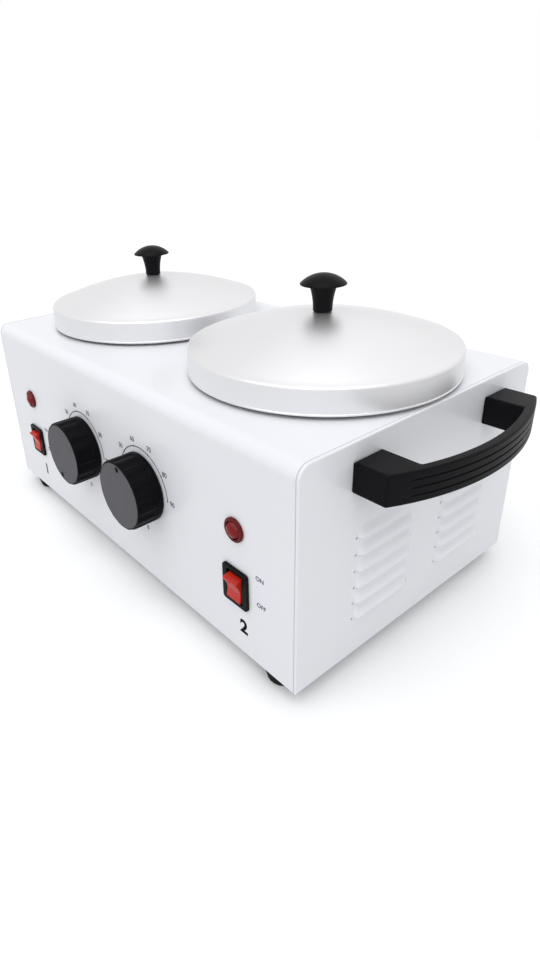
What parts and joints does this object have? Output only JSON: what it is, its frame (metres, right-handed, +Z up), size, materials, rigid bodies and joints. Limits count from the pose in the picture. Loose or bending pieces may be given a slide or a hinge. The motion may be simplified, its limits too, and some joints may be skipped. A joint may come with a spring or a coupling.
{
  "type": "double wax warmer",
  "caption": "Low steel casing with heated wells side by side, lift-out pots under domed lids with knobs, front dials, rocker switches, lamps and bowed side handles.",
  "frame": {"origin": "the middle of the bounding box, at the plane of the feet's undersides", "axes": "+X to the right as seen from the front and along the longest extent, +Y from the front to the back, +Z up and along the shortest extent"},
  "size_m": [0.435, 0.2326, 0.2126],
  "materials": {
    "white_paint": "gloss white enamel on sheet steel",
    "satin_aluminium": "satin, fine blasted",
    "black_plastic": "black with a slight sheen",
    "dial_plastic": "dark grey, matt",
    "red_plastic": "red, glossy",
    "black_rubber": "black, matt",
    "plated_steel": "zinc plated",
    "heater_steel": "dull rolled steel",
    "copper": "bright drawn copper",
    "cream_plastic": "heat-proof moulded plastic",
    "brown_sleeve": "brown insulation",
    "white_sleeve": "white woven heat sleeve",
    "grey_plastic": "dark grey"
  },
  "bodies": {
    "housing": {"casing_wrap": "white_paint", "base_plate": "white_paint", "left_side_panel": "white_paint", "right_side_panel": "white_paint", "front_left_foot": "black_rubber", "front_right_foot": "black_rubber", "back_left_foot": "black_rubber", "back_right_foot": "black_rubber", "front_left_foot_screw": "plated_steel", "front_right_foot_screw": "plated_steel", "back_left_foot_screw": "plated_steel", "back_right_foot_screw": "plated_steel", "cord_gland": "black_rubber", "terminal_block": "cream_plastic", "left_heating_well": "satin_aluminium", "right_heating_well": "satin_aluminium", "left_band_heater": "heater_steel", "right_band_heater": "heater_steel", "left_band_clamp_screw": "plated_steel", "right_band_clamp_screw": "plated_steel", "left_thermostat_body": "cream_plastic", "right_thermostat_body": "cream_plastic", "left_thermostat_nut": "plated_steel", "right_thermostat_nut": "plated_steel", "left_sensor_bulb_and_tube": "copper", "right_sensor_bulb_and_tube": "copper", "left_lamp": "red_plastic", "right_lamp": "red_plastic", "left_lamp_nut": "grey_plastic", "right_lamp_nut": "grey_plastic", "left_switch_housing": "black_plastic", "right_switch_housing": "black_plastic", "left_handle": "black_plastic", "right_handle": "black_plastic", "left_handle_front_screw": "plated_steel", "left_handle_back_screw": "plated_steel", "right_handle_front_screw": "plated_steel", "right_handle_back_screw": "plated_steel", "left_supply_lead": "brown_sleeve", "right_supply_lead": "brown_sleeve", "left_switch_lead": "brown_sleeve", "right_switch_lead": "brown_sleeve", "left_heater_lead": "white_sleeve", "right_heater_lead": "white_sleeve"},
    "left_pot": {"left_wax_pot": "satin_aluminium"},
    "right_pot": {"right_wax_pot": "satin_aluminium"},
    "left_lid_and_knob": {"left_lid": "satin_aluminium", "left_lid_knob": "black_plastic", "left_lid_knob_screw": "plated_steel"},
    "right_lid_and_knob": {"right_lid": "satin_aluminium", "right_lid_knob": "black_plastic", "right_lid_knob_screw": "plated_steel"},
    "left_dial_and_spindle": {"left_dial": "dial_plastic", "left_dial_spindle": "plated_steel"},
    "right_dial_and_spindle": {"right_dial": "dial_plastic", "right_dial_spindle": "plated_steel"},
    "left_rocker": {"left_switch_rocker": "red_plastic"},
    "right_rocker": {"right_switch_rocker": "red_plastic"}
  },
  "joints": [
    {"name": "left_pot_lift", "type": "slide", "parent": "housing", "child": "left_pot", "axis": [0, 0, 1], "range_m": [0, 0.16]},
    {"name": "right_pot_lift", "type": "slide", "parent": "housing", "child": "right_pot", "axis": [0, 0, 1], "range_m": [0, 0.16]},
    {"name": "left_lid_lift", "type": "slide", "parent": "left_pot", "child": "left_lid_and_knob", "axis": [0, 0, 1], "range_m": [0, 0.06]},
    {"name": "right_lid_lift", "type": "slide", "parent": "right_pot", "child": "right_lid_and_knob", "axis": [0, 0, 1], "range_m": [0, 0.06]},
    {"name": "left_dial_turn", "type": "hinge", "parent": "housing", "child": "left_dial_and_spindle", "pos_m": [-0.04, -0.097, 0.085], "axis": [0, 1, 0], "range_deg": [-18, 252]},
    {"name": "right_dial_turn", "type": "hinge", "parent": "housing", "child": "right_dial_and_spindle", "pos_m": [0.04, -0.097, 0.085], "axis": [0, 1, 0], "range_deg": [-186, 84]},
    {"name": "left_rocker_tilt", "type": "hinge", "parent": "housing", "child": "left_rocker", "pos_m": [-0.133, -0.096, 0.0588], "axis": [-1, 0, 0], "range_deg": [0, 22]},
    {"name": "right_rocker_tilt", "type": "hinge", "parent": "housing", "child": "right_rocker", "pos_m": [0.133, -0.096, 0.0588], "axis": [-1, 0, 0], "range_deg": [0, 22]}
  ]
}
